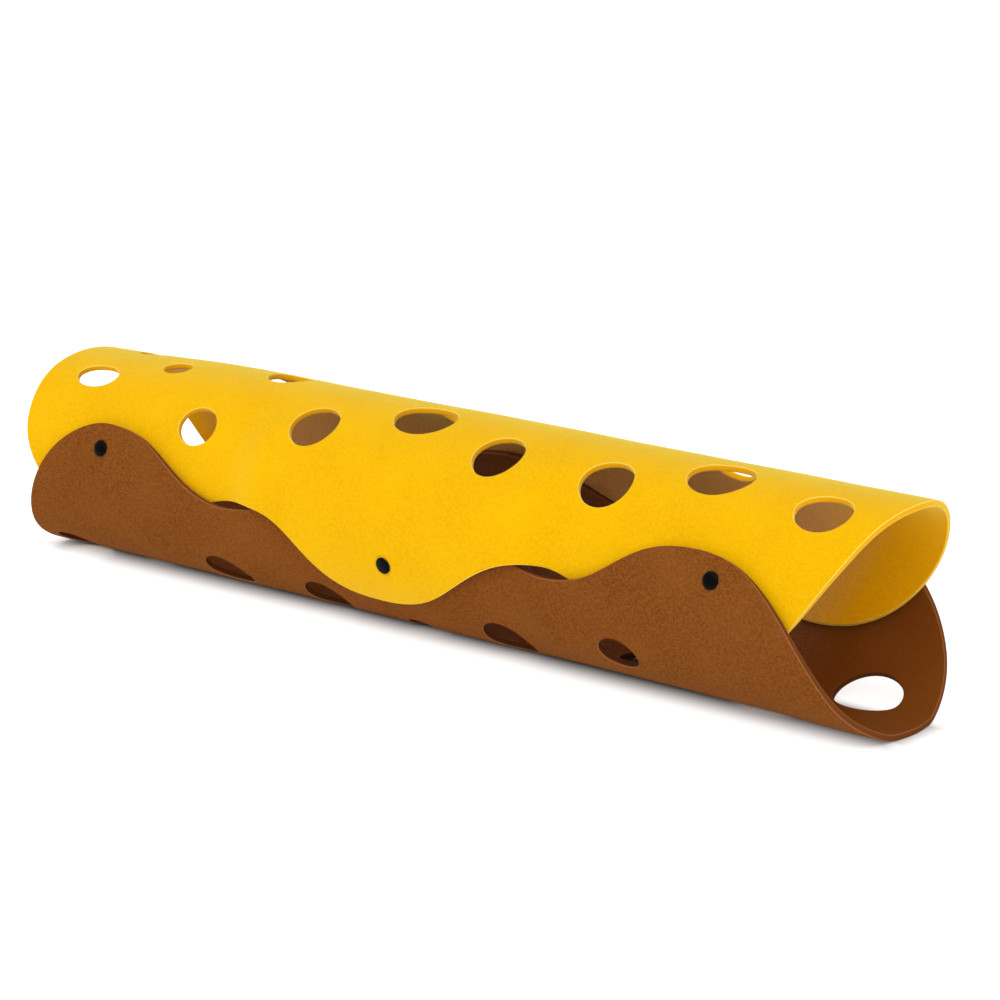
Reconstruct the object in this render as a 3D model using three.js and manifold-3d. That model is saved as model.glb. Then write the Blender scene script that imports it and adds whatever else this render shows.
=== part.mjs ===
// Cat tunnel bed: two thick felt sheets with wavy sides and oval holes, bent into one tube
// and closed along both sides by six snap fasteners. The yellow sheet is the arch on top,
// the brown sheet is the trough below. Millimetres, +Z up: the tunnel runs along X, the
// origin is under its middle, and the floor is Z = 0. "Near" is the -Y side.
import * as THREE from "three";
import Module from "manifold-3d";

// The felt and the tube it is bent to.
const feltThickness = 6;
const tubeRadius = 100;
const restHalfWidth = 18;
const axisHeight = (tubeRadius + feltThickness / 2) * Math.cos(restHalfWidth / tubeRadius);

// Where the sheets overlap, one wall lies outside the tube's circle and the other inside it.
const layerShift = 4.3;
const shiftStart = 40;
const shiftFull = 105;
const swapAt = 175;
const swapHalfLength = 24;

// The wavy outline of each sheet. Turning points of its edge from left to right: place along
// the tunnel, half the sheet's width there, and how much steeper than a cosine the run to the
// next one is. Tongues: length, how round the shoulders are, how full the tip is, and how far
// the near side reaches beyond the centre line for each millimetre across.
const yellowOutline = {
  turns: [[-349, 212, 0], [-178, 152, 0.45], [-7, 219.5, 0.15], [186, 148.3, 0], [352, 214, 0]],
  leftTongue: [127.6, 1.3, 0.313, 0.102],
  rightTongue: [165.5, 2.2, 0.69, -0.03],
};
const brownOutline = {
  turns: [[-353, 211, 0.09], [-190, 155.3, 0], [2, 207, 0], [188, 158, 0.3], [352, 209.3, 0]],
  leftTongue: [139.5, 1.75, 0.74, 0.098],
  rightTongue: [165, 2.15, 0.62, 0.01],
};
const slantStart = 300;
const slantFull = 420;

// The place along the sheets that lies over the origin, halfway between the two ends.
const middlePlace = 12.4;

// The left end settles a little lower and wider than the rest.
const settle = 0.037;
const settleSpread = 0.8;
const settleStart = 260;
const settleFull = 500;

// The brown sheet's right tongue droops, so that more of it lies on the floor.
const droop = 3;
const droopStart = 375;
const droopFull = 485;

// Oval holes: place along the tunnel, place across the sheet from its centre line
// (near side +), half length, half width.
const yellowHoles = [
  [-416, 49, 26, 15],
  [-333.5, 19, 16.5, 12.5],
  [-253, 88, 23.5, 20],
  [-210, -12, 22.5, 24.5],
  [-114, 64, 26, 24.5],
  [-7, 26, 33.5, 25.5],
  [103, 56, 25.5, 25.5],
  [227, 60, 27, 25.5],
  [329, 25.5, 32.5, 26.5],
  [448, 45, 27.5, 22.5],
  [-408, -26, 18, 18],
  [-281, -52, 29, 19],
  [-28, -65, 34, 25],
  [75, -62, 27, 24],
  [175, -84, 28, 25],
  [287, -53, 22, 21],
  [400, -52, 27, 23],
];
const brownHoles = [
  [-441, 50, 27, 28],
  [-358, 11, 26, 20],
  [-216.5, 77, 27, 24.5],
  [-102.5, 58, 26, 28],
  [5, 36, 20, 22],
  [120.5, 61, 27.5, 29],
  [267, 99, 21, 17.5],
  [380, 10, 42, 25],
  [443.5, -40.5, 32, 29],
  [300, -78, 26, 22],
  [229, -6, 29, 20],
  [60, -40, 30, 20],
  [-75, -62, 27, 24],
  [-175, -84, 28, 25],
  [-283, -62, 33, 26],
  [-400, -52, 27, 23],
];

// Snap fasteners: name, place along, distance of the punched hole from the centre line of
// the sheet that lies outside there, and whether that sheet is the yellow one.
const snaps = [
  ["left", -358, 187, false],
  ["middle", 9, 177, true],
  ["right", 375, 187, false],
];
const capRadius = 8;
const capHeight = 2.8;
const capEdge = 0.9;
const backRadius = 7;
const backHeight = 2.4;
const backBevel = 0.8;
const postRadius = 2;
const postEngage = 1.2;
const punchRadius = 2.75;
const fitGap = 0.35;
const seatGap = 1.3;

// How finely the solids are cut.
const middleSteps = 26;
const tongueSteps = 9;
const tongueLastAngle = 1.5;
const halfRows = 9;
const holeSides = 16;
const punchSides = 8;
const roundSides = 14;
const domeSteps = 4;
const cutterReach = 2;

const yellowFelt = new THREE.MeshStandardMaterial({ color: 0xfabe08, roughness: 0.95, metalness: 0 });
const brownFelt = new THREE.MeshStandardMaterial({ color: 0x86501f, roughness: 0.95, metalness: 0 });
const blackSnap = new THREE.MeshStandardMaterial({ color: 0x0b0c0f, roughness: 0.3, metalness: 0 });

const wasm = await Module();
wasm.setup();

// Smooth rise from 0 at low to 1 at high.
function rise(value, low, high) {
  return THREE.MathUtils.smoothstep(value, low, high);
}

function outlineOf(yellow) {
  return yellow ? yellowOutline : brownOutline;
}

// Half a tongue's width at a distance from where it starts.
function tongueWidth(width, [length, roundness, fullness], distance) {
  const part = Math.min(distance / length, 1);
  return width * (1 - part ** roundness) ** fullness;
}

// Half the sheet's width at a place along it.
function halfWidth(yellow, along) {
  const { turns, leftTongue, rightTongue } = outlineOf(yellow);
  const [firstAt, firstWidth] = turns[0];
  const [lastAt, lastWidth] = turns[turns.length - 1];
  if (along <= firstAt) return tongueWidth(firstWidth, leftTongue, firstAt - along);
  if (along >= lastAt) return tongueWidth(lastWidth, rightTongue, along - lastAt);
  const next = turns.findIndex(([at]) => at >= along);
  const [fromAt, fromWidth, steepness] = turns[next - 1];
  const [toAt, toWidth] = turns[next];
  const part = (along - fromAt) / (toAt - fromAt);
  const bent = part - (steepness * Math.sin(2 * Math.PI * part)) / (2 * Math.PI);
  return fromWidth + ((toWidth - fromWidth) * (1 - Math.cos(Math.PI * bent))) / 2;
}

// The place along of a point of the outline, which slants at the tongues.
function slanted(yellow, station, across) {
  const { leftTongue, rightTongue } = outlineOf(yellow);
  const slant = (station > 0 ? rightTongue : leftTongue)[3];
  const share = rise(Math.abs(station), slantStart, slantFull);
  return station + Math.sign(station) * slant * across * share;
}

// A point of the bent felt. along and across are places on the flat sheet, depth is the
// distance outwards from the middle of the felt.
function bend(yellow, along, across, depth) {
  const swap = 1 - 2 * rise(Math.abs(along), swapAt - swapHalfLength, swapAt + swapHalfLength);
  const shift = layerShift * swap * rise(Math.abs(across), shiftStart, shiftFull) * (yellow ? 1 : -1);
  const radius = tubeRadius + shift + depth;
  const angle = across / tubeRadius;
  const settled = settle * rise(-along, settleStart, settleFull);
  const drooped = droop * rise(along, droopStart, droopFull);
  const height = yellow
    ? axisHeight + radius * Math.cos(angle)
    : Math.max(axisHeight - drooped - radius * Math.cos(angle), feltThickness / 2 - depth);
  return new THREE.Vector3(
    along - middlePlace,
    -radius * Math.sin(angle) * (1 + settleSpread * settled),
    height * (1 - settled),
  );
}

// A closed solid from its points and triangles.
function solid(points, triangles) {
  const vertProperties = new Float32Array(points.flatMap((point) => [point.x, point.y, point.z]));
  const triVerts = new Uint32Array(triangles.flat());
  return new wasm.Manifold(new wasm.Mesh({ numProp: 3, vertProperties, triVerts }));
}

// The stations along the sheet, closer together round the tongues.
function stations(yellow) {
  const { turns, leftTongue, rightTongue } = outlineOf(yellow);
  const firstAt = turns[0][0];
  const lastAt = turns[turns.length - 1][0];
  const places = [];
  for (let step = tongueSteps; step > 0; step -= 1) {
    places.push(firstAt - leftTongue[0] * Math.sin((tongueLastAngle * step) / tongueSteps));
  }
  for (let step = 0; step <= middleSteps; step += 1) {
    places.push(firstAt + ((lastAt - firstAt) * step) / middleSteps);
  }
  for (let step = 1; step <= tongueSteps; step += 1) {
    places.push(lastAt + rightTongue[0] * Math.sin((tongueLastAngle * step) / tongueSteps));
  }
  return places;
}

// The rows across the sheet at one station: a flat strip in the middle, then even steps.
function rowsAcross(yellow, station) {
  const edge = halfWidth(yellow, station);
  const strip = Math.min(restHalfWidth, edge / 2);
  const half = [];
  for (let row = 0; row <= halfRows; row += 1) {
    half.push(strip + ((edge - strip) * row) / halfRows);
  }
  return [...half.map((place) => -place).reverse(), ...half];
}

// The felt without its holes: an outer and an inner face joined round the cut edge.
function bareSheet(yellow) {
  const places = stations(yellow);
  const width = 2 * (halfRows + 1);
  const count = places.length * width;
  const points = [];
  for (const depth of [feltThickness / 2, -feltThickness / 2]) {
    for (const station of places) {
      for (const across of rowsAcross(yellow, station)) {
        points.push(bend(yellow, slanted(yellow, station, across), across, depth));
      }
    }
  }
  const triangles = [];
  const quad = (a, b, c, d) => triangles.push([a, b, c], [a, c, d]);
  for (let i = 0; i + 1 < places.length; i += 1) {
    const widening = halfWidth(yellow, places[i + 1]) > halfWidth(yellow, places[i]);
    for (let j = 0; j + 1 < width; j += 1) {
      const a = i * width + j;
      const [b, c, d] = [a + 1, a + width + 1, a + width];
      const nearSide = 2 * j + 2 > width;
      if (widening === nearSide) {
        quad(b, c, d, a);
        quad(b + count, a + count, d + count, c + count);
      } else {
        quad(a, b, c, d);
        quad(a + count, d + count, c + count, b + count);
      }
    }
  }
  const rim = [];
  for (let j = 0; j < width; j += 1) rim.push(j);
  for (let i = 1; i < places.length; i += 1) rim.push(i * width + width - 1);
  for (let j = width - 2; j >= 0; j -= 1) rim.push((places.length - 1) * width + j);
  for (let i = places.length - 2; i > 0; i -= 1) rim.push(i * width);
  rim.forEach((a, index) => {
    const b = rim[(index + 1) % rim.length];
    quad(a, a + count, b + count, b);
  });
  return solid(points, yellow ? triangles : turned(triangles));
}

// The same triangles facing the other way.
function turned(triangles) {
  return triangles.map(([a, b, c]) => [a, c, b]);
}

// A prism that follows the bend and cuts an oval through the felt, square to its faces.
function ovalCutter(yellow, [along, across, halfLength, halfOval], sides) {
  const points = [];
  for (const depth of [feltThickness / 2 + cutterReach, -feltThickness / 2 - cutterReach]) {
    for (let side = 0; side < sides; side += 1) {
      const angle = (2 * Math.PI * side) / sides;
      const u = along + halfLength * Math.cos(angle);
      const v = across + halfOval * Math.sin(angle);
      points.push(bend(yellow, u, v, depth));
    }
    points.push(bend(yellow, along, across, depth));
  }
  const triangles = [];
  const lower = sides + 1;
  for (let side = 0; side < sides; side += 1) {
    const next = (side + 1) % sides;
    triangles.push([side, next, sides]);
    triangles.push([lower + next, lower + side, lower + sides]);
    triangles.push([side, lower + next, next], [side, lower + side, lower + next]);
  }
  return solid(points, yellow ? turned(triangles) : triangles);
}

// The punched holes of a sheet, on both sides of its centre line. Where the sheet is the
// inner one, its hole is the rest of the half circle away.
function punchedHoles(yellow) {
  return snaps.flatMap(([, along, outerPlace, yellowOutside]) => {
    const place = yellow === yellowOutside ? outerPlace : Math.PI * tubeRadius - outerPlace;
    return [place, -place].map((across) => [along, across, punchRadius, punchRadius]);
  });
}

function sheetSolid(yellow, holes) {
  let felt = bareSheet(yellow);
  for (const hole of holes) felt = felt.subtract(ovalCutter(yellow, hole, holeSides));
  for (const hole of punchedHoles(yellow)) felt = felt.subtract(ovalCutter(yellow, hole, punchSides));
  return felt;
}

function toGeometry(manifold) {
  const mesh = manifold.getMesh();
  const geometry = new THREE.BufferGeometry();
  geometry.setAttribute("position", new THREE.BufferAttribute(mesh.vertProperties, mesh.numProp));
  geometry.setIndex(new THREE.BufferAttribute(mesh.triVerts, 1));
  geometry.computeVertexNormals();
  return geometry;
}

function named(name, geometry, material) {
  const mesh = new THREE.Mesh(geometry, material);
  mesh.name = name;
  return mesh;
}

// The outer half of a snap: a domed cap with the post that goes through both sheets.
// Its seat is at Y = 0 and the post points down.
function capGeometry(postLength) {
  const dome = [];
  for (let step = 0; step <= domeSteps; step += 1) {
    const angle = (Math.PI / 2) * (step / domeSteps);
    dome.push([capRadius * Math.cos(angle), capEdge + (capHeight - capEdge) * Math.sin(angle)]);
  }
  dome[dome.length - 1][0] = 0;
  const profile = [[0, -postLength], [postRadius, -postLength], [postRadius, 0], [capRadius, 0], ...dome];
  return new THREE.LatheGeometry(profile.map(([x, y]) => new THREE.Vector2(x, y)), roundSides);
}

// The inner half: a disc whose socket takes the end of the post. Its seat is at Y = 0.
function backGeometry() {
  const socket = postRadius + fitGap;
  const floor = postEngage + fitGap;
  const profile = [
    [0, -backHeight],
    [backRadius - backBevel, -backHeight],
    [backRadius, -backHeight + backBevel],
    [backRadius, 0],
    [socket, 0],
    [socket, -floor],
    [0, -floor],
  ];
  return new THREE.LatheGeometry(profile.map(([x, y]) => new THREE.Vector2(x, y)), roundSides);
}

// One snap on one side: both halves on the line that runs square through the two sheets.
function snapPair([name, along, outerPlace, yellowOutside], sideName, side) {
  const across = side * outerPlace;
  const inner = side * (Math.PI * tubeRadius - outerPlace);
  const capSeat = bend(yellowOutside, along, across, feltThickness / 2 + fitGap);
  const backSeat = bend(!yellowOutside, along, inner, -feltThickness / 2 - seatGap);
  const axis = capSeat.clone().sub(backSeat);
  const postLength = axis.length() + postEngage;
  const turn = new THREE.Quaternion().setFromUnitVectors(new THREE.Vector3(0, 1, 0), axis.normalize());
  const cap = named(`snap_cap_${sideName}_${name}`, capGeometry(postLength), blackSnap);
  const back = named(`snap_back_${sideName}_${name}`, backGeometry(), blackSnap);
  cap.position.copy(capSeat);
  back.position.copy(backSeat);
  cap.quaternion.copy(turn);
  back.quaternion.copy(turn);
  return [cap, back];
}

const tunnel = new THREE.Group();
tunnel.add(named("yellow_sheet", toGeometry(sheetSolid(true, yellowHoles)), yellowFelt));
tunnel.add(named("brown_sheet", toGeometry(sheetSolid(false, brownHoles)), brownFelt));
for (const snap of snaps) {
  tunnel.add(...snapPair(snap, "near", 1));
  tunnel.add(...snapPair(snap, "far", -1));
}

export default tunnel;
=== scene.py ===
import math

import bmesh
import bpy
import numpy as np
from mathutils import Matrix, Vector
from mathutils.geometry import delaunay_2d_cdt


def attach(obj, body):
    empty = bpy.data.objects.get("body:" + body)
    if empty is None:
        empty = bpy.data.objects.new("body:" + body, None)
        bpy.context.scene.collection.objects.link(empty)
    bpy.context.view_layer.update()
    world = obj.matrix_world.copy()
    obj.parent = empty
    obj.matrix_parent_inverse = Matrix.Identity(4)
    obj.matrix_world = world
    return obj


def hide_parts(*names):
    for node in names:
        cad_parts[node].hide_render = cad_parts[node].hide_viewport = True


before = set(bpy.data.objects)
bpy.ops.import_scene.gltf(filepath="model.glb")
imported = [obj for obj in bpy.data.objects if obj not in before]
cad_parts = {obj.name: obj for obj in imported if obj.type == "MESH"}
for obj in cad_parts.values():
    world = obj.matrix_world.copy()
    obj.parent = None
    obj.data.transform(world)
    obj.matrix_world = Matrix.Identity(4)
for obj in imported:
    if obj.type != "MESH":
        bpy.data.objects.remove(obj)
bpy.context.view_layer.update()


# The room: a white sky with two broad soft lamps and a small one that makes the glints, all
# so far off that they light the floor evenly. A long lens looks at the tunnel's right front
# from a little above it.
mm = 0.001
view_turn = math.radians(39.6)
view_rise = math.radians(14.9)
view_distance = 3.186
view_centre = Vector((0.0473, 0, 0.1288))
lens_pixels = 3461.5
photo_pixels = 1000
sky_strength = 0.78

camera_data = bpy.data.cameras.new("camera")
camera_data.sensor_width = 36
camera_data.lens = camera_data.sensor_width * lens_pixels / photo_pixels
camera_data.clip_end = 100
camera = bpy.data.objects.new("camera", camera_data)
bpy.context.collection.objects.link(camera)
towards_camera = Vector((
    math.sin(view_turn) * math.cos(view_rise),
    -math.cos(view_turn) * math.cos(view_rise),
    math.sin(view_rise),
))
camera.location = view_centre + view_distance * towards_camera
camera.rotation_euler = (-towards_camera).to_track_quat("-Z", "Y").to_euler()
bpy.context.scene.camera = camera
bpy.context.scene.view_settings.view_transform = "Standard"

sky = bpy.data.worlds.new("sky")
sky.use_nodes = True
sky.node_tree.nodes["Background"].inputs["Color"].default_value = (1, 1, 1, 1)
sky.node_tree.nodes["Background"].inputs["Strength"].default_value = sky_strength
bpy.context.scene.world = sky


def soft_lamp(name, strength, spread, turn, height):
    """A far lamp at a turn and height, in degrees, that spreads over a wide angle."""
    data = bpy.data.lights.new(name, "SUN")
    data.energy = strength
    data.angle = math.radians(spread)
    lamp = bpy.data.objects.new(name, data)
    bpy.context.collection.objects.link(lamp)
    lamp.rotation_euler = (math.radians(90 - height), 0, math.radians(turn))


soft_lamp("lamp_above", strength=1.14, spread=80, turn=-10, height=65)
soft_lamp("lamp_front", strength=0.7, spread=60, turn=40, height=30)
soft_lamp("lamp_glint", strength=0.15, spread=3, turn=10, height=50)


# The yellow sheet: one die-cut piece of thick needled felt with wavy long sides, a rounded
# tongue at each end and oval holes punched all over. It is bent over into the arch on top,
# and its middle lobes hang outside the brown sheet.
felt_thickness = 6 * mm
tube_radius = 100 * mm
rest_half_width = 18 * mm
axis_height = (tube_radius + felt_thickness / 2) * math.cos(rest_half_width / tube_radius)

# Each sheet stands out where it lies outside the other, and they change places at two waists.
# The left end settles a little, and the brown sheet's right tongue droops on to the floor.
layer_shift = 4.3 * mm
shift_start, shift_full = 40 * mm, 105 * mm
swap_at, swap_half_length = 175 * mm, 24 * mm
middle_place = 12.4 * mm
settle, settle_spread = 0.037, 0.8
settle_start, settle_full = 260 * mm, 500 * mm
droop, droop_start, droop_full = 3 * mm, 375 * mm, 485 * mm
rest_softness = 2 * mm

# The die-cut outline, in mm. Turning points of the edge from left to right: place along, half
# width, steepness of the run to the next one. Tongues: length, roundness, fullness, slant.
slant_start, slant_full = 300, 420
yellow_turns = [(-349, 212, 0), (-178, 152, 0.45), (-7, 219.5, 0.15), (186, 148.3, 0), (352, 214, 0)]
yellow_tongues = [(127.6, 1.3, 0.313, 0.102), (165.5, 2.2, 0.69, -0.03)]

# The oval holes: place along, place across (near side +), half length, half width, in mm.
yellow_holes = [
    (-416, 49, 26, 15),
    (-333.5, 19, 16.5, 12.5),
    (-253, 88, 23.5, 20),
    (-210, -12, 22.5, 24.5),
    (-114, 64, 26, 24.5),
    (-7, 26, 33.5, 25.5),
    (103, 56, 25.5, 25.5),
    (227, 60, 27, 25.5),
    (329, 25.5, 32.5, 26.5),
    (448, 45, 27.5, 22.5),
    (-408, -26, 18, 18),
    (-281, -52, 29, 19),
    (-28, -65, 34, 25),
    (75, -62, 27, 24),
    (175, -84, 28, 25),
    (287, -53, 22, 21),
    (400, -52, 27, 23),
]

# The snaps: name, place along, distance from the centre line of the sheet that lies outside
# there, and whether that sheet is the yellow one.
snaps = [
    ("left", -358 * mm, 187 * mm, False),
    ("middle", 9 * mm, 177 * mm, True),
    ("right", 375 * mm, 187 * mm, False),
]
punch_radius = 2.75 * mm
dent_rise, dent_inside, dent_top, dent_outside = 0.5 * mm, 7.6 * mm, 10 * mm, 19 * mm


def rise(value, low, high):
    """Smooth rise from 0 at low to 1 at high."""
    part = np.clip((value - low) / (high - low), 0, 1)
    return part * part * (3 - 2 * part)


def half_width(turns, along):
    """Half the cut sheet's width between its first and last turning points."""
    width = np.full(along.shape, float(turns[-1][1]))
    for (start, start_width, steepness), (end, end_width, _) in zip(turns, turns[1:]):
        part = (along - start) / (end - start)
        bent = part - steepness * np.sin(2 * np.pi * part) / (2 * np.pi)
        wave = start_width + (end_width - start_width) * (1 - np.cos(np.pi * bent)) / 2
        width = np.where((part >= 0) & (part < 1), wave, width)
    return width


def bend(yellow, flat, depth):
    """Places in the tunnel of points of the flat sheet, depth outwards from mid-felt."""
    along, across = flat[:, 0], flat[:, 1]
    swap = 1 - 2 * rise(np.abs(along), swap_at - swap_half_length, swap_at + swap_half_length)
    shift = layer_shift * swap * rise(np.abs(across), shift_start, shift_full)
    radius = tube_radius + (shift if yellow else -shift) + depth
    angle = across / tube_radius
    settled = settle * rise(-along, settle_start, settle_full)
    if yellow:
        height = axis_height + radius * np.cos(angle)
    else:
        hanging = axis_height - droop * rise(along, droop_start, droop_full) - radius * np.cos(angle)
        resting = felt_thickness / 2 - depth
        height = (hanging + resting + np.hypot(hanging - resting, rest_softness)) / 2
    side = -radius * np.sin(angle) * (1 + settle_spread * settled)
    return np.stack([along - middle_place, side, height * (1 - settled)], axis=1)


def evenly(points, step):
    """A closed loop of points walked again in even steps."""
    closed = np.vstack([points, points[:1]])
    walked = np.concatenate([[0], np.cumsum(np.hypot(*np.diff(closed, axis=0).T))])
    marks = np.linspace(0, walked[-1], round(walked[-1] / step), endpoint=False)
    return np.stack([np.interp(marks, walked, closed[:, k]) for k in (0, 1)], axis=1)


def cut_outline(turns, tongues, step):
    """The sheet's outline, walked with the felt on the left."""
    quarter = np.sin(np.linspace(0, math.pi / 2, 400))
    ends = []
    for (start, width, _), tongue, direction in zip(turns[::4], tongues, (-1, 1)):
        length, roundness, fullness, _ = tongue
        station = start + direction * length * quarter
        half = direction * width * (1 - quarter ** roundness) ** fullness
        going = np.stack([station, -half], axis=1)
        coming = np.stack([station, half], axis=1)[::-1]
        ends.append(np.vstack([going, coming[1:]]))
    side = np.linspace(turns[-1][0], turns[0][0], 800)[1:-1]
    near = np.stack([side, half_width(turns, side)], axis=1)
    far = (near * (1, -1))[::-1]
    left, right = ends
    loop = np.vstack([right, near, left, far])
    left_tongue, right_tongue = tongues
    slant = np.where(loop[:, 0] > 0, right_tongue[3], -left_tongue[3])
    loop[:, 0] += slant * loop[:, 1] * rise(np.abs(loop[:, 0]), slant_start, slant_full)
    return evenly(loop * mm, step)


def cut_oval(along, across, half_long, half_wide, step):
    """A hole's edge, walked with the felt on the left."""
    turn = np.linspace(0, -2 * math.pi, 400, endpoint=False)
    oval = np.stack([along + half_long * np.cos(turn), across + half_wide * np.sin(turn)], axis=1)
    return evenly(oval, step)


def encloses(loop, points):
    """Which points lie inside a closed loop."""
    inside = np.zeros(len(points), bool)
    for (x0, y0), (x1, y1) in zip(loop, np.roll(loop, -1, axis=0)):
        if y0 == y1:
            continue
        crossing = x0 + (points[:, 1] - y0) * (x1 - x0) / (y1 - y0)
        inside ^= ((y0 > points[:, 1]) != (y1 > points[:, 1])) & (points[:, 0] < crossing)
    return inside


def punched_places(yellow):
    """Where a sheet is punched for the snaps' posts."""
    places = []
    for _, along, outer_place, yellow_outside in snaps:
        place = outer_place if yellow == yellow_outside else math.pi * tube_radius - outer_place
        places += [(along, place), (along, -place)]
    return places


# How finely a sheet is meshed: steps along its cut edges, round the punched holes and over its
# faces, and the rings of points round each snap. The edges are rounded and bulge a little.
edge_step, punch_step, face_step, ring_step = 2.5 * mm, 0.9 * mm, 5.5 * mm, 2.2 * mm
ring_radii = np.array((5, 6.6, 7.8, 8.8, 10, 12, 14.5, 17.5, 20.5)) * mm
ring_clearance, margin_clearance, same_point = 2 * mm, 1.4 * mm, 0.0001 * mm
edge_round, punch_round, edge_margin, edge_bulge = 0.9 * mm, 0.5 * mm, 0.7 * mm, 0.1 * mm
wave_height = 0.45 * mm


def unevenness(flat):
    """The slow waves of a sheet that was rolled up for sale."""
    along, across = flat[:, 0] / mm, flat[:, 1] / mm
    long_wave = np.sin(along / 61 + across / 150 + 0.7) * np.sin(across / 83 - along / 210 + 1.9)
    short_wave = np.sin(along / 27 - across / 41 + 2.2) * np.sin(across / 33 + along / 58)
    return wave_height * (long_wave + 0.4 * short_wave)


def swelling(flat, depth, punched):
    """How far each point stands off the plain bent sheet: slow waves, and rings round the snaps."""
    swell = unevenness(flat)
    for along, across in punched:
        away = np.hypot(flat[:, 0] - along, flat[:, 1] - across)
        dent = rise(away, dent_inside, dent_top) * (1 - rise(away, dent_top, dent_outside))
        swell += dent_rise * dent * np.sign(depth)
    return swell


def outwards(loop):
    """Which way is off the felt, all along a cut edge."""
    step = np.roll(loop, -1, axis=0) - np.roll(loop, 1, axis=0)
    step /= np.hypot(*step.T)[:, None]
    return np.stack([step[:, 1], -step[:, 0]], axis=1)


def edge_profile(rounding):
    """A cut edge from the outer face over to the inner one, as insets and depths."""
    upper = [(rounding + edge_margin, felt_thickness / 2)]
    for turn in np.radians((0, 30, 60, 90)):
        inset = rounding * (1 - math.sin(turn))
        upper.append((inset, felt_thickness / 2 - rounding * (1 - math.cos(turn))))
    return upper + [(-edge_bulge, 0)] + [(inset, -depth) for inset, depth in reversed(upper)]


def on_felt(margins, points):
    """Which points lie inside the outline and in none of the holes."""
    outline, *holes = margins
    on = encloses(outline, points)
    for hole in holes:
        on &= ~encloses(hole, points)
    return on


def face_points(margins, punched):
    """Points all over a face: an even lattice, with finer rings round the snaps."""
    reach, half_reach = np.abs(margins[0]).max(axis=0)
    points = []
    for row, across in enumerate(np.arange(-half_reach, half_reach, face_step * math.sqrt(3) / 2)):
        for along in np.arange(-reach, reach, face_step):
            points.append((along + (row % 2) * face_step / 2, across))
    points = np.array(points)
    for along, across in punched:
        away = np.hypot(points[:, 0] - along, points[:, 1] - across)
        points = points[away > dent_outside + ring_clearance]
        for radius in ring_radii:
            count = max(10, round(2 * math.pi * radius / ring_step))
            turn = np.linspace(0, 2 * math.pi, count, endpoint=False)
            ring = np.stack([along + radius * np.cos(turn), across + radius * np.sin(turn)], axis=1)
            points = np.vstack([points, ring])
    points = points[on_felt(margins, points)]
    border = np.vstack(margins)
    near = np.array([np.hypot(*(border - point).T).min() for point in points])
    return points[near > margin_clearance]


def face_triangles(margins, points):
    """Triangles between the margins' points and a face's own, numbered in that order."""
    corners = np.vstack(margins + [points])
    sides, first = [], 0
    for loop in margins:
        ids = np.arange(first, first + len(loop))
        sides += list(zip(ids.tolist(), np.roll(ids, -1).tolist()))
        first += len(loop)
    places = [Vector(corner) for corner in corners]
    _, _, found, sources, *_ = delaunay_2d_cdt(places, sides, [], 0, same_point)
    triangles = np.array([[sources[k][0] for k in face] for face in found])
    return triangles[on_felt(margins, corners[triangles].mean(axis=1))]


def smooth_piece(name, mesh, work):
    """Links a mesh that was worked on as a smooth piece, its faces turned outwards."""
    bmesh.ops.recalc_face_normals(work, faces=work.faces)
    for face in work.faces:
        face.smooth = True
    work.to_mesh(mesh)
    work.free()
    piece = bpy.data.objects.new(name, mesh)
    bpy.context.collection.objects.link(piece)
    return piece


def felt_sheet(name, yellow, turns, tongues, holes):
    """The bent sheet as a closed mesh with softly rounded cut edges."""
    loops = [(cut_outline(turns, tongues, edge_step), edge_round)]
    for hole in holes:
        loops.append((cut_oval(*(size * mm for size in hole), edge_step), edge_round))
    punched = punched_places(yellow)
    for along, across in punched:
        loops.append((cut_oval(along, across, punch_radius, punch_radius, punch_step), punch_round))

    # Each cut edge has a row of points for each step of its profile. The first row is the
    # margin of the outer face, and the last row that of the inner face.
    flat_rows, depth_rows, edges, margins, count = [], [], [], [], 0
    for loop, rounding in loops:
        out = outwards(loop)
        rows = []
        for inset, depth in edge_profile(rounding):
            flat_rows.append(loop - out * inset)
            depth_rows.append(np.full(len(loop), depth))
            rows.append(np.arange(count, count + len(loop)))
            count += len(loop)
        edges.append(rows)
        margins.append(flat_rows[-len(rows)])

    points = face_points(margins, punched)
    extra = count + np.arange(len(points))
    outer_ids = np.concatenate([rows[0] for rows in edges] + [extra])
    inner_ids = np.concatenate([rows[-1] for rows in edges] + [extra + len(points)])
    flat = np.vstack(flat_rows + [points, points])
    face_depths = [np.full(len(points), side * felt_thickness / 2) for side in (1, -1)]
    depth = np.concatenate(depth_rows + face_depths)
    places = bend(yellow, flat, depth + swelling(flat, depth, punched))

    triangles = face_triangles(margins, points)
    faces = outer_ids[triangles].tolist() + inner_ids[triangles[:, ::-1]].tolist()
    for rows in edges:
        for upper, lower in zip(rows, rows[1:]):
            faces += np.stack([upper, lower, np.roll(lower, -1), np.roll(upper, -1)], axis=1).tolist()
    mesh = bpy.data.meshes.new(name)
    mesh.from_pydata(places.tolist(), [], faces)
    flat_places = mesh.attributes.new("flat", "FLOAT_VECTOR", "POINT")
    flat_places.data.foreach_set("vector", np.column_stack([flat, depth]).ravel())
    on_outline = np.isin(np.arange(len(flat)), np.concatenate(edges[0]))
    outline_mark = mesh.attributes.new("outline", "FLOAT", "POINT")
    outline_mark.data.foreach_set("value", on_outline.astype(float))
    work = bmesh.new()
    work.from_mesh(mesh)
    return smooth_piece(name, mesh, work)


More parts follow.
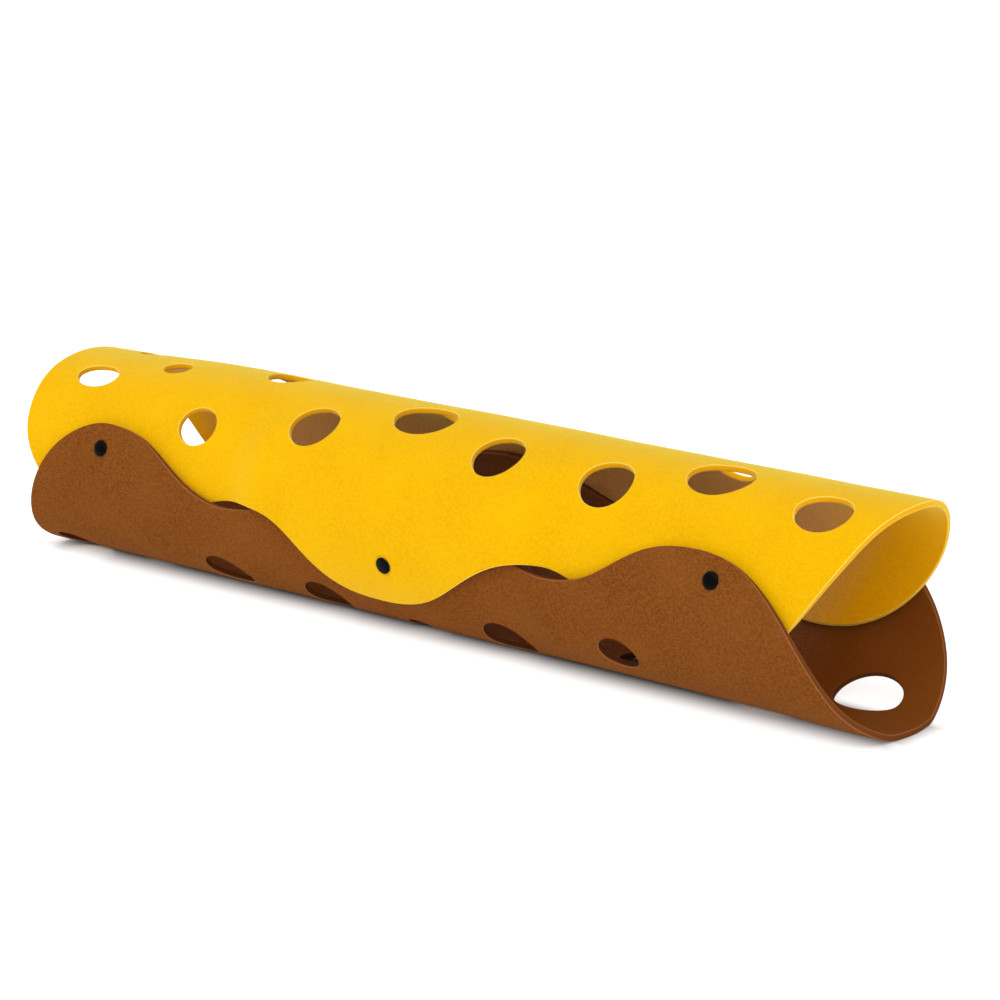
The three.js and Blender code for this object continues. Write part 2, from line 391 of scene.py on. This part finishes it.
class Shade:
    """A socket whose value varies over a piece. Arithmetic on it adds Math nodes."""

    def __init__(self, dye, socket):
        self.dye = dye
        self.socket = socket

    def math(self, operation, *values):
        """Any Math node."""
        return self.dye.node("ShaderNodeMath", {"operation": operation}, dict(enumerate(values)))

    def __add__(self, other):
        return self.math("ADD", self, other)

    def __sub__(self, other):
        return self.math("SUBTRACT", self, other)

    def __rsub__(self, other):
        return self.math("SUBTRACT", other, self)

    def __mul__(self, other):
        return self.math("MULTIPLY", self, other)

    def __pow__(self, other):
        return self.math("POWER", self, other)

    def __abs__(self):
        return self.math("ABSOLUTE", self)

    __radd__ = __add__
    __rmul__ = __mul__


class Dye:
    """A finish that is being mixed."""

    def __init__(self, name):
        self.material = bpy.data.materials.new(name)
        self.material.use_nodes = True
        self.tree = self.material.node_tree
        self.shader = self.tree.nodes["Principled BSDF"]

    def node(self, kind, settings, sockets, output=0):
        """Any node, with its settings first and then its sockets' values or links."""
        node = self.tree.nodes.new(kind)
        for name, value in settings.items():
            setattr(node, name, value)
        for name, value in sockets.items():
            if isinstance(value, Shade):
                self.tree.links.new(value.socket, node.inputs[name])
            else:
                node.inputs[name].default_value = value
        return Shade(self, node.outputs[output])

    def step(self, value, low, high):
        """0 below low, 1 above high and a smooth rise between."""
        return self.node(
            "ShaderNodeMapRange",
            {"interpolation_type": "SMOOTHSTEP"},
            {"Value": value, "From Min": low, "From Max": high},
        )

    def mix(self, factor, first, second):
        """A colour between two."""
        return self.node("ShaderNodeMix", {"data_type": "RGBA"}, {0: factor, 6: first, 7: second}, 2)

    def noise(self, place, size, detail):
        """Soft noise from 0 to 1 with blotches of a given size."""
        return self.node(
            "ShaderNodeTexNoise",
            {},
            {"Vector": place, "Scale": 1 / size, "Detail": detail, "Roughness": 0.55},
        )

    def strands(self, place, turn, length, width):
        """Thin strands that lie one way: stretched noise sharpened to ridges."""
        stretched = self.node(
            "ShaderNodeMapping",
            {"vector_type": "TEXTURE"},
            {"Vector": place, "Rotation": (0, 0, math.radians(turn)), "Scale": (length, width, width)},
        )
        wave = self.node(
            "ShaderNodeTexNoise",
            {},
            {"Vector": stretched, "Scale": 1, "Detail": 2, "Distortion": 0.5},
        )
        return (1 - abs(wave * 2 - 1)) ** 6

    def feed(self, name, value):
        """Links what varies to one of the finish's own sockets."""
        self.tree.links.new(value.socket, self.shader.inputs[name])

    def fix(self, values):
        """Sets sockets that are the same all over."""
        for name, value in values.items():
            self.shader.inputs[name].default_value = value


# The felt's own sizes: soft clouds, specks and grain, and fibres that cross at four angles.
cloud_size, fleck_size, grain_size = 70 * mm, 1.8 * mm, 0.5 * mm
strand_turns, strand_length, strand_width = (20, 75, 128, 165), 7 * mm, 0.35 * mm
# The shares say how strongly the clouds, the fibres and the painted highlight and shade at the cut
# corners show.
cloud_share, strand_share, outer_highlight_share, inner_painted_line_share = 0.4, 0.12, 0.65, 0.45


def painted_corner_line(dye, depth):
    """The mask for thin painted highlights and painted shade where a face turns over into a cut edge.
    """
    return dye.step(depth, 1.9 * mm, 2.3 * mm) * (1 - dye.step(depth, 2.75 * mm, 2.95 * mm))


def felt_dye_with_painted_light(
    name, face, speck, pale, hole_wall_and_shade, rim_wall_and_shade, painted_edge_highlight, painted_corner_shade, inside, deep_painted_light, painted_light_reach, fuzz, fuzz_tint
):
    """Needled felt: a matt ground of crossing fibres and specks, with its cut edges apart.

    The inner face carries painted light and shade: it turns from a painted colour of shade and
    bounce light in the middle of the tunnel (a tan on the yellow sheet, a lighter brown on the
    brown one) to a lighter (yellow) or darker (brown) copy of the face colour at the ends. The
    painted light reach says where: how much sooner down the sides, and from where to where. The
    cut edges carry painted highlights and painted shade.
    """
    dye = Dye(name)
    flat = dye.node("ShaderNodeAttribute", {"attribute_name": "flat"}, {}, 1)
    outline = dye.node("ShaderNodeAttribute", {"attribute_name": "outline"}, {}, 2)
    along = dye.node("ShaderNodeSeparateXYZ", {}, {"Vector": flat}, 0)
    across = dye.node("ShaderNodeSeparateXYZ", {}, {"Vector": flat}, 1)
    depth = dye.node("ShaderNodeSeparateXYZ", {}, {"Vector": flat}, 2)

    cloud = dye.noise(flat, cloud_size, 2)
    fleck = dye.noise(flat, fleck_size, 4)
    grain = dye.noise(flat, grain_size, 3)
    strands = sum(dye.strands(flat, turn, strand_length, strand_width) for turn in strand_turns)

    inner_face = dye.step(-1 * depth, 1.0 * mm, 2.6 * mm)
    # The inner face's colour is painted light and shade: its inside colour near the ends, and a
    # painted colour of shade and bounce light in the middle of the tunnel.
    sooner, painted_light_end, painted_light_gone = painted_light_reach
    painted_light_mask = 1 - dye.step(abs(along) + abs(across) * sooner, painted_light_end, painted_light_gone)
    ground = dye.mix(inner_face, face, dye.mix(painted_light_mask, inside, deep_painted_light))
    colour = dye.mix(dye.step(fleck, 0.36, 0.64) * (1 - 0.5 * inner_face), ground, speck)
    colour = dye.mix(dye.step(cloud, 0.3, 0.75) * cloud_share * (1 - inner_face), colour, pale)
    colour = dye.mix(strands * strand_share, colour, pale)
    # The cut walls take their own colour; on the brown sheet it is darkened as painted shade.
    wall = 1 - dye.step(abs(depth), 2.1 * mm, 2.5 * mm)
    colour = dye.mix(wall, colour, dye.mix(outline, hole_wall_and_shade, rim_wall_and_shade))
    # A painted highlight along the outer corners; along the inner ones a painted shade round the holes
    # and a painted highlight on the outline.
    colour = dye.mix(painted_corner_line(dye, depth) * outer_highlight_share, colour, painted_edge_highlight)
    inner_painted_line = painted_corner_line(dye, -1 * depth) * inner_painted_line_share
    colour = dye.mix(inner_painted_line, colour, dye.mix(outline, painted_corner_shade, painted_edge_highlight))
    dye.feed("Base Color", colour)

    height = strands * 0.25 + fleck * 0.9 + grain * 0.5
    bump = dye.node("ShaderNodeBump", {}, {"Height": height, "Strength": 0.4, "Distance": 0.4 * mm})
    dye.feed("Normal", bump)
    dye.feed("Roughness", 0.86 + grain * 0.12)
    dye.fix({
        "Specular IOR Level": 0.01,
        "Sheen Weight": fuzz,
        "Sheen Roughness": 0.3,
        "Sheen Tint": fuzz_tint,
    })
    return dye.material


yellow_sheet = felt_sheet("yellow_felt_sheet", True, yellow_turns, yellow_tongues, yellow_holes)
yellow_sheet.data.materials.append(felt_dye_with_painted_light(
    "yellow_felt",
    face=(0.72, 0.385, 0.001, 1),
    speck=(0.62, 0.31, 0.001, 1),
    pale=(0.77, 0.43, 0.002, 1),
    hole_wall_and_shade=(0.80, 0.38, 0.004, 1),
    rim_wall_and_shade=(0.78, 0.37, 0.006, 1),
    # A painted highlight along the cut corners, and a painted shade along the holes' inner corners.
    painted_edge_highlight=(0.95, 0.70, 0.18, 1),
    painted_corner_shade=(0.45, 0.2, 0.01, 1),
    # The inner face's two colours are painted light and shade: a lighter copy of the face colour at
    # the ends, and a painted tan shade with warm bounce light in the middle of the tunnel.
    inside=(0.92, 0.41, 0.001, 1),
    deep_painted_light=(0.95, 0.54, 0.27, 1),
    painted_light_reach=(0.5, 400 * mm, 500 * mm),
    fuzz=1,
    fuzz_tint=(1, 1, 0.25, 1),
))
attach(yellow_sheet, "root")
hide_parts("yellow_sheet")


# The brown sheet: a second piece of the same felt in chestnut, cut to nearly the same outline.
# It is bent up into the trough that stands on the floor, flat along its lowest strip, and its
# end lobes come up outside the yellow sheet.
brown_turns = [(-353, 211, 0.09), (-190, 155.3, 0), (2, 207, 0), (188, 158, 0.3), (352, 209.3, 0)]
brown_tongues = [(139.5, 1.75, 0.74, 0.098), (165, 2.15, 0.62, 0.01)]
brown_holes = [
    (-441, 50, 27, 28),
    (-358, 11, 26, 20),
    (-216.5, 77, 27, 24.5),
    (-102.5, 58, 26, 28),
    (5, 36, 20, 22),
    (120.5, 61, 27.5, 29),
    (267, 99, 21, 17.5),
    (380, 10, 42, 25),
    (443.5, -40.5, 32, 29),
    (300, -78, 26, 22),
    (229, -6, 29, 20),
    (60, -40, 30, 20),
    (-75, -62, 27, 24),
    (-175, -84, 28, 25),
    (-283, -62, 33, 26),
    (-400, -52, 27, 23),
]
brown_sheet = felt_sheet("brown_felt_sheet", False, brown_turns, brown_tongues, brown_holes)
brown_sheet.data.materials.append(felt_dye_with_painted_light(
    "brown_felt",
    face=(0.215, 0.0655, 0.0108, 1),
    speck=(0.108, 0.03, 0.004, 1),
    pale=(0.22, 0.072, 0.014, 1),
    # The cut walls are painted shade, darker than the felt's face: nearly black in the holes, a darker
    # brown on the outline.
    hole_wall_and_shade=(0.07, 0.02, 0.006, 1),
    rim_wall_and_shade=(0.15, 0.044, 0.013, 1),
    # A painted highlight along the cut corners, and a painted shade along the holes' inner corners.
    painted_edge_highlight=(0.36, 0.14, 0.05, 1),
    painted_corner_shade=(0.07, 0.02, 0.006, 1),
    # The inner face's two colours are painted light and shade: a darker copy of the face colour at the
    # ends, and a lighter one, painted bounce light, in the middle of the tunnel.
    inside=(0.165, 0.045, 0.005, 1),
    deep_painted_light=(0.27, 0.11, 0.045, 1),
    painted_light_reach=(0, 320 * mm, 400 * mm),
    fuzz=0.03,
    fuzz_tint=(1, 0.8, 0.5, 1),
))
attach(brown_sheet, "root")
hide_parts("brown_sheet")


# The snap caps: six black moulded domes, each with a post that goes through both sheets.
# They are pressed on by machine, so the felt swells a little round them.
cap_radius, cap_height, cap_edge, cap_chamfer = 8 * mm, 2.8 * mm, 0.9 * mm, 0.3 * mm
dome_fullness = 0.9
post_radius, post_engage = 2 * mm, 1.2 * mm
fit_gap, seat_gap = 0.35 * mm, 1.3 * mm


def turned(name, profile, sides=72):
    """A closed turned piece: the profile's points are radius and height."""
    work = bmesh.new()
    rings = []
    for radius, height in profile:
        if radius == 0:
            rings.append([work.verts.new((0, 0, height))])
            continue
        ring = []
        for side in range(sides):
            turn = 2 * math.pi * side / sides
            ring.append(work.verts.new((radius * math.cos(turn), radius * math.sin(turn), height)))
        rings.append(ring)
    for lower, upper in zip(rings, rings[1:]):
        for side in range(sides):
            following = (side + 1) % sides
            corners = [lower[side % len(lower)], lower[following % len(lower)]]
            corners += [upper[following % len(upper)], upper[side % len(upper)]]
            work.faces.new(list(dict.fromkeys(corners)))
    return smooth_piece(name, bpy.data.meshes.new(name), work)


def snap_line(along, outer_place, yellow_outside, side):
    """Where the cap and the back of a snap sit, as two points."""
    across = np.array([[along, side * outer_place]])
    facing = np.array([[along, side * (math.pi * tube_radius - outer_place)]])
    cap_seat = bend(yellow_outside, across, felt_thickness / 2 + fit_gap)[0]
    back_seat = bend(not yellow_outside, facing, -felt_thickness / 2 - seat_gap)[0]
    return Vector(cap_seat), Vector(back_seat)


def seated(piece, seat, direction):
    """Moves the piece's mesh to its seat, with its height along the direction."""
    turn = direction.to_track_quat("Z", "Y").to_matrix().to_4x4()
    piece.data.transform(turn)
    for vertex in piece.data.vertices:
        vertex.co += seat


snap_dye = Dye("black_snap")
scuffs = snap_dye.noise(snap_dye.node("ShaderNodeTexCoord", {}, {}, "Object"), 1.2 * mm, 4)
snap_dye.feed("Roughness", 0.1 + scuffs * 0.12)
snap_dye.fix({"Base Color": (0.001, 0.0011, 0.0015, 1), "Specular IOR Level": 0.05})


def cap_profile(post_length):
    """A cap from the end of its post up to the top of its dome."""
    dome = []
    for turn in np.linspace(0, math.pi / 2, 14):
        height = cap_edge + (cap_height - cap_edge) * math.sin(turn)
        dome.append((cap_radius * math.cos(turn) ** dome_fullness, height))
    dome[-1] = (0, cap_height)
    rim = [(cap_radius - cap_chamfer, 0), (cap_radius, cap_chamfer)]
    return [(0, -post_length), (post_radius, -post_length), (post_radius, 0)] + rim + dome


for place_name, along, outer_place, yellow_outside in snaps:
    for side_name, side in (("near", 1), ("far", -1)):
        cap_seat, back_seat = snap_line(along, outer_place, yellow_outside, side)
        post_line = cap_seat - back_seat
        cap = turned(f"cap_{side_name}_{place_name}", cap_profile(post_line.length + post_engage))
        seated(cap, cap_seat, post_line.normalized())
        cap.data.materials.append(snap_dye.material)
        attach(cap, "root")
        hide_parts(f"snap_cap_{side_name}_{place_name}")


# The snap backs: the flat inner halves, each a disc with a rolled rim and a socket that
# clicks on to the end of the post.
back_radius, rim_middle, rim_width, rim_rise = 7 * mm, -1.3 * mm, 0.7 * mm, 1.1 * mm
rim_inset, socket_depth = 1.5 * mm, 1.5 * mm
hub_profile = [(0, -1.9), (2.6, -1.9), (3.1, -2.3), (3.9, -2.3), (4.4, -1.7)]


def back_profile():
    """A back from the middle of its hub, over the rim and into the socket."""
    hub = [(radius * mm, height * mm) for radius, height in hub_profile]
    rim = []
    for turn in np.linspace(-math.pi / 2, math.pi / 2, 9):
        rim_radius = back_radius - rim_width * (1 - math.cos(turn))
        rim.append((rim_radius, rim_middle + rim_rise * math.sin(turn)))
    bore = post_radius + fit_gap
    socket = [(bore, 0), (bore, -socket_depth), (0, -socket_depth)]
    return hub + rim + [(back_radius - rim_inset, 0)] + socket


for place_name, along, outer_place, yellow_outside in snaps:
    for side_name, side in (("near", 1), ("far", -1)):
        cap_seat, back_seat = snap_line(along, outer_place, yellow_outside, side)
        back = turned(f"back_{side_name}_{place_name}", back_profile(), 48)
        seated(back, back_seat, (cap_seat - back_seat).normalized())
        back.data.materials.append(snap_dye.material)
        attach(back, "root")
        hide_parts(f"snap_back_{side_name}_{place_name}")


# The floor: pale and matt, running out of view. It glows a little, as painted light, so that it
# stays white round the tunnel, but not in the gap under it. The glow fades towards the contact,
# and a painted contact shadow in its colour makes the floor darkest along it.
floor_shadow_and_glow = Dye("floor_painted_shadow_and_glow")
floor_place = floor_shadow_and_glow.node("ShaderNodeTexCoord", {}, {}, "Object")
floor_along = floor_shadow_and_glow.node("ShaderNodeSeparateXYZ", {}, {"Vector": floor_place}, "X")
floor_across = floor_shadow_and_glow.node("ShaderNodeSeparateXYZ", {}, {"Vector": floor_place}, "Y")
past_end = floor_shadow_and_glow.step(abs(floor_along), 480 * mm, 530 * mm)
past_near = floor_shadow_and_glow.step(-1 * floor_across, 18 * mm, 74 * mm)
past_far = floor_shadow_and_glow.step(floor_across, 16 * mm, 46 * mm)
past_side = past_near.math("MAXIMUM", past_near, past_far)
# Painted contact shadow: the floor's colour turns near black along the contact.
past_painted_shadow = past_end.math("MAXIMUM", past_end, floor_shadow_and_glow.step(abs(floor_across), 19 * mm, 33 * mm))
floor_shadow_and_glow.feed("Base Color", floor_shadow_and_glow.mix(past_painted_shadow, (0.08, 0.075, 0.07, 1), (0.5, 0.5, 0.5, 1)))
# The glow is painted light, left out round the contact.
floor_shadow_and_glow.feed("Emission Color", past_end.math("MAXIMUM", past_end, past_side))
floor_shadow_and_glow.fix({"Roughness": 0.9, "Specular IOR Level": 0, "Emission Strength": 0.75})
bpy.ops.mesh.primitive_plane_add(size=60)
floor = bpy.context.object
floor.name = "floor"
floor.data.materials.append(floor_shadow_and_glow.material)
